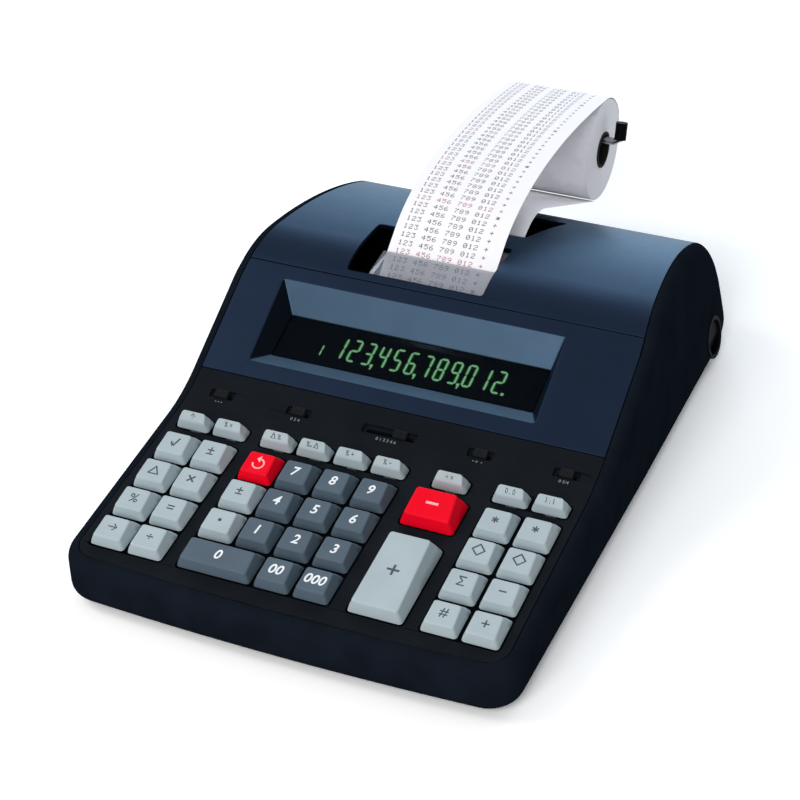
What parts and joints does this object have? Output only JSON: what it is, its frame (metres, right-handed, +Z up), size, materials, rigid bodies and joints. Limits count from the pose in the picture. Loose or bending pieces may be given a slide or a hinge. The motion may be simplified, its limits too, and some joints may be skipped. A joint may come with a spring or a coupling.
{
  "type": "printing calculator",
  "caption": "Desktop printing calculator: sloping keyboard, slide switches, deep-set display and a printer with its paper roll on a wire holder behind, printed strip arching back over it.",
  "frame": {"origin": "middle of the bounding box, on the table", "axes": "+X to the right as seen by the user, +Y from the keys to the paper roll, +Z up"},
  "size_m": [0.2194, 0.406, 0.1074],
  "materials": {
    "casing": "fine grained black",
    "panel": "fine grained charcoal",
    "cover": "satin dark blue",
    "window": "smoked, polished",
    "lamp_tube": "dark green lamp glass",
    "board": "green laminate",
    "steel": "bright",
    "wire": "plated wire",
    "paper": "uncoated white",
    "platen": "smooth",
    "rocker": "black",
    "slide_knob": "ribbed black",
    "light_key": "light grey, fine grained",
    "dark_key": "slate grey, fine grained",
    "red_key": "red, fine grained"
  },
  "bodies": {
    "case": {"base_shell": "casing", "keyboard_panel": "panel", "display_cover": "cover", "printer_cover": "cover", "display_window": "window", "display_tube": "lamp_tube", "circuit_board": "board", "printer_frame": "steel", "roll_holder": "wire", "paper_strip": "paper"},
    "key_0": {"key_0": "dark_key"},
    "key_00": {"key_00": "dark_key"},
    "key_000": {"key_000": "dark_key"},
    "key_1": {"key_1": "dark_key"},
    "key_2": {"key_2": "dark_key"},
    "key_3": {"key_3": "dark_key"},
    "key_4": {"key_4": "dark_key"},
    "key_5": {"key_5": "dark_key"},
    "key_6": {"key_6": "dark_key"},
    "key_7": {"key_7": "dark_key"},
    "key_8": {"key_8": "dark_key"},
    "key_9": {"key_9": "dark_key"},
    "key_advance": {"key_advance": "light_key"},
    "key_divide": {"key_divide": "light_key"},
    "key_percent": {"key_percent": "light_key"},
    "key_equals": {"key_equals": "light_key"},
    "key_difference": {"key_difference": "light_key"},
    "key_multiply": {"key_multiply": "light_key"},
    "key_check": {"key_check": "light_key"},
    "key_rate": {"key_rate": "light_key"},
    "key_count": {"key_count": "light_key"},
    "key_memory_plus": {"key_memory_plus": "light_key"},
    "key_grand_total": {"key_grand_total": "light_key"},
    "key_memory_minus": {"key_memory_minus": "light_key"},
    "key_subtotal": {"key_subtotal": "light_key"},
    "key_memory_subtotal": {"key_memory_subtotal": "light_key"},
    "key_total": {"key_total": "light_key"},
    "key_memory_total": {"key_memory_total": "light_key"},
    "key_point": {"key_point": "light_key"},
    "key_sign": {"key_sign": "light_key"},
    "key_plus": {"key_plus": "light_key"},
    "function_key_1": {"function_key_1": "light_key"},
    "function_key_2": {"function_key_2": "light_key"},
    "function_key_3": {"function_key_3": "light_key"},
    "function_key_4": {"function_key_4": "light_key"},
    "function_key_5": {"function_key_5": "light_key"},
    "function_key_6": {"function_key_6": "light_key"},
    "function_key_7": {"function_key_7": "light_key"},
    "function_key_8": {"function_key_8": "light_key"},
    "function_key_9": {"function_key_9": "light_key"},
    "key_clear": {"key_clear": "red_key"},
    "key_minus": {"key_minus": "red_key"},
    "slide_switch_1": {"slide_switch_1": "slide_knob"},
    "slide_switch_2": {"slide_switch_2": "slide_knob"},
    "slide_switch_3": {"slide_switch_3": "slide_knob"},
    "slide_switch_4": {"slide_switch_4": "slide_knob"},
    "slide_switch_5": {"slide_switch_5": "slide_knob"},
    "power_rocker": {"power_rocker": "rocker"},
    "paper_roll": {"paper_roll": "paper"},
    "platen_roller": {"platen_roller": "platen"}
  },
  "joints": [
    {"name": "key_0_press", "type": "slide", "parent": "case", "child": "key_0", "axis": [0, 0.1219, -0.9925], "range_m": [0, 0.003], "stiffness_N_per_m": 150, "springref_m": -0.001},
    {"name": "key_00_press", "type": "slide", "parent": "case", "child": "key_00", "axis": [0, 0.1219, -0.9925], "range_m": [0, 0.003], "stiffness_N_per_m": 150, "springref_m": -0.001},
    {"name": "key_000_press", "type": "slide", "parent": "case", "child": "key_000", "axis": [0, 0.1219, -0.9925], "range_m": [0, 0.003], "stiffness_N_per_m": 150, "springref_m": -0.001},
    {"name": "key_1_press", "type": "slide", "parent": "case", "child": "key_1", "axis": [0, 0.1219, -0.9925], "range_m": [0, 0.003], "stiffness_N_per_m": 150, "springref_m": -0.001},
    {"name": "key_2_press", "type": "slide", "parent": "case", "child": "key_2", "axis": [0, 0.1219, -0.9925], "range_m": [0, 0.003], "stiffness_N_per_m": 150, "springref_m": -0.001},
    {"name": "key_3_press", "type": "slide", "parent": "case", "child": "key_3", "axis": [0, 0.1219, -0.9925], "range_m": [0, 0.003], "stiffness_N_per_m": 150, "springref_m": -0.001},
    {"name": "key_4_press", "type": "slide", "parent": "case", "child": "key_4", "axis": [0, 0.1219, -0.9925], "range_m": [0, 0.003], "stiffness_N_per_m": 150, "springref_m": -0.001},
    {"name": "key_5_press", "type": "slide", "parent": "case", "child": "key_5", "axis": [0, 0.1219, -0.9925], "range_m": [0, 0.003], "stiffness_N_per_m": 150, "springref_m": -0.001},
    {"name": "key_6_press", "type": "slide", "parent": "case", "child": "key_6", "axis": [0, 0.1219, -0.9925], "range_m": [0, 0.003], "stiffness_N_per_m": 150, "springref_m": -0.001},
    {"name": "key_7_press", "type": "slide", "parent": "case", "child": "key_7", "axis": [0, 0.1219, -0.9925], "range_m": [0, 0.003], "stiffness_N_per_m": 150, "springref_m": -0.001},
    {"name": "key_8_press", "type": "slide", "parent": "case", "child": "key_8", "axis": [0, 0.1219, -0.9925], "range_m": [0, 0.003], "stiffness_N_per_m": 150, "springref_m": -0.001},
    {"name": "key_9_press", "type": "slide", "parent": "case", "child": "key_9", "axis": [0, 0.1219, -0.9925], "range_m": [0, 0.003], "stiffness_N_per_m": 150, "springref_m": -0.001},
    {"name": "key_advance_press", "type": "slide", "parent": "case", "child": "key_advance", "axis": [0, 0.1219, -0.9925], "range_m": [0, 0.003], "stiffness_N_per_m": 150, "springref_m": -0.001},
    {"name": "key_divide_press", "type": "slide", "parent": "case", "child": "key_divide", "axis": [0, 0.1219, -0.9925], "range_m": [0, 0.003], "stiffness_N_per_m": 150, "springref_m": -0.001},
    {"name": "key_percent_press", "type": "slide", "parent": "case", "child": "key_percent", "axis": [0, 0.1219, -0.9925], "range_m": [0, 0.003], "stiffness_N_per_m": 150, "springref_m": -0.001},
    {"name": "key_equals_press", "type": "slide", "parent": "case", "child": "key_equals", "axis": [0, 0.1219, -0.9925], "range_m": [0, 0.003], "stiffness_N_per_m": 150, "springref_m": -0.001},
    {"name": "key_difference_press", "type": "slide", "parent": "case", "child": "key_difference", "axis": [0, 0.1219, -0.9925], "range_m": [0, 0.003], "stiffness_N_per_m": 150, "springref_m": -0.001},
    {"name": "key_multiply_press", "type": "slide", "parent": "case", "child": "key_multiply", "axis": [0, 0.1219, -0.9925], "range_m": [0, 0.003], "stiffness_N_per_m": 150, "springref_m": -0.001},
    {"name": "key_check_press", "type": "slide", "parent": "case", "child": "key_check", "axis": [0, 0.1219, -0.9925], "range_m": [0, 0.003], "stiffness_N_per_m": 150, "springref_m": -0.001},
    {"name": "key_rate_press", "type": "slide", "parent": "case", "child": "key_rate", "axis": [0, 0.1219, -0.9925], "range_m": [0, 0.003], "stiffness_N_per_m": 150, "springref_m": -0.001},
    {"name": "key_count_press", "type": "slide", "parent": "case", "child": "key_count", "axis": [0, 0.1219, -0.9925], "range_m": [0, 0.003], "stiffness_N_per_m": 150, "springref_m": -0.001},
    {"name": "key_memory_plus_press", "type": "slide", "parent": "case", "child": "key_memory_plus", "axis": [0, 0.1219, -0.9925], "range_m": [0, 0.003], "stiffness_N_per_m": 150, "springref_m": -0.001},
    {"name": "key_grand_total_press", "type": "slide", "parent": "case", "child": "key_grand_total", "axis": [0, 0.1219, -0.9925], "range_m": [0, 0.003], "stiffness_N_per_m": 150, "springref_m": -0.001},
    {"name": "key_memory_minus_press", "type": "slide", "parent": "case", "child": "key_memory_minus", "axis": [0, 0.1219, -0.9925], "range_m": [0, 0.003], "stiffness_N_per_m": 150, "springref_m": -0.001},
    {"name": "key_subtotal_press", "type": "slide", "parent": "case", "child": "key_subtotal", "axis": [0, 0.1219, -0.9925], "range_m": [0, 0.003], "stiffness_N_per_m": 150, "springref_m": -0.001},
    {"name": "key_memory_subtotal_press", "type": "slide", "parent": "case", "child": "key_memory_subtotal", "axis": [0, 0.1219, -0.9925], "range_m": [0, 0.003], "stiffness_N_per_m": 150, "springref_m": -0.001},
    {"name": "key_total_press", "type": "slide", "parent": "case", "child": "key_total", "axis": [0, 0.1219, -0.9925], "range_m": [0, 0.003], "stiffness_N_per_m": 150, "springref_m": -0.001},
    {"name": "key_memory_total_press", "type": "slide", "parent": "case", "child": "key_memory_total", "axis": [0, 0.1219, -0.9925], "range_m": [0, 0.003], "stiffness_N_per_m": 150, "springref_m": -0.001},
    {"name": "key_point_press", "type": "slide", "parent": "case", "child": "key_point", "axis": [0, 0.1219, -0.9925], "range_m": [0, 0.003], "stiffness_N_per_m": 150, "springref_m": -0.001},
    {"name": "key_sign_press", "type": "slide", "parent": "case", "child": "key_sign", "axis": [0, 0.1219, -0.9925], "range_m": [0, 0.003], "stiffness_N_per_m": 150, "springref_m": -0.001},
    {"name": "key_plus_press", "type": "slide", "parent": "case", "child": "key_plus", "axis": [0, 0.1219, -0.9925], "range_m": [0, 0.003], "stiffness_N_per_m": 150, "springref_m": -0.001},
    {"name": "function_key_1_press", "type": "slide", "parent": "case", "child": "function_key_1", "axis": [0, 0.1219, -0.9925], "range_m": [0, 0.003], "stiffness_N_per_m": 150, "springref_m": -0.001},
    {"name": "function_key_2_press", "type": "slide", "parent": "case", "child": "function_key_2", "axis": [0, 0.1219, -0.9925], "range_m": [0, 0.003], "stiffness_N_per_m": 150, "springref_m": -0.001},
    {"name": "function_key_3_press", "type": "slide", "parent": "case", "child": "function_key_3", "axis": [0, 0.1219, -0.9925], "range_m": [0, 0.003], "stiffness_N_per_m": 150, "springref_m": -0.001},
    {"name": "function_key_4_press", "type": "slide", "parent": "case", "child": "function_key_4", "axis": [0, 0.1219, -0.9925], "range_m": [0, 0.003], "stiffness_N_per_m": 150, "springref_m": -0.001},
    {"name": "function_key_5_press", "type": "slide", "parent": "case", "child": "function_key_5", "axis": [0, 0.1219, -0.9925], "range_m": [0, 0.003], "stiffness_N_per_m": 150, "springref_m": -0.001},
    {"name": "function_key_6_press", "type": "slide", "parent": "case", "child": "function_key_6", "axis": [0, 0.1219, -0.9925], "range_m": [0, 0.003], "stiffness_N_per_m": 150, "springref_m": -0.001},
    {"name": "function_key_7_press", "type": "slide", "parent": "case", "child": "function_key_7", "axis": [0, 0.1219, -0.9925], "range_m": [0, 0.003], "stiffness_N_per_m": 150, "springref_m": -0.001},
    {"name": "function_key_8_press", "type": "slide", "parent": "case", "child": "function_key_8", "axis": [0, 0.1219, -0.9925], "range_m": [0, 0.003], "stiffness_N_per_m": 150, "springref_m": -0.001},
    {"name": "function_key_9_press", "type": "slide", "parent": "case", "child": "function_key_9", "axis": [0, 0.1219, -0.9925], "range_m": [0, 0.003], "stiffness_N_per_m": 150, "springref_m": -0.001},
    {"name": "key_clear_press", "type": "slide", "parent": "case", "child": "key_clear", "axis": [0, 0.1219, -0.9925], "range_m": [0, 0.003], "stiffness_N_per_m": 150, "springref_m": -0.001},
    {"name": "key_minus_press", "type": "slide", "parent": "case", "child": "key_minus", "axis": [0, 0.1219, -0.9925], "range_m": [0, 0.003], "stiffness_N_per_m": 150, "springref_m": -0.001},
    {"name": "slide_switch_1_travel", "type": "slide", "parent": "case", "child": "slide_switch_1", "axis": [1, 0, 0], "range_m": [-0.0026, 0.0026]},
    {"name": "slide_switch_2_travel", "type": "slide", "parent": "case", "child": "slide_switch_2", "axis": [1, 0, 0], "range_m": [-0.0026, 0.0026]},
    {"name": "slide_switch_3_travel", "type": "slide", "parent": "case", "child": "slide_switch_3", "axis": [1, 0, 0], "range_m": [-0.0156, 0.0044]},
    {"name": "slide_switch_4_travel", "type": "slide", "parent": "case", "child": "slide_switch_4", "axis": [1, 0, 0], "range_m": [-0.0026, 0.0026]},
    {"name": "slide_switch_5_travel", "type": "slide", "parent": "case", "child": "slide_switch_5", "axis": [1, 0, 0], "range_m": [-0.0026, 0.0026]},
    {"name": "power_rocker_tilt", "type": "hinge", "parent": "case", "child": "power_rocker", "pos_m": [0.10333, 0.099, 0.01489], "axis": [0, 1, 0], "range_deg": [-16, 0]},
    {"name": "paper_roll_spin", "type": "hinge", "parent": "case", "child": "paper_roll", "pos_m": [-0.0107, 0.175, 0.0715], "axis": [1, 0, 0], "continuous": true},
    {"name": "platen_spin", "type": "hinge", "parent": "case", "child": "platen_roller", "pos_m": [-0.0107, 0.013, 0.0673], "axis": [1, 0, 0], "continuous": true}
  ],
  "couplings": [
    {"joint": "platen_spin", "follows": "paper_roll_spin", "ratio": 2.8}
  ]
}
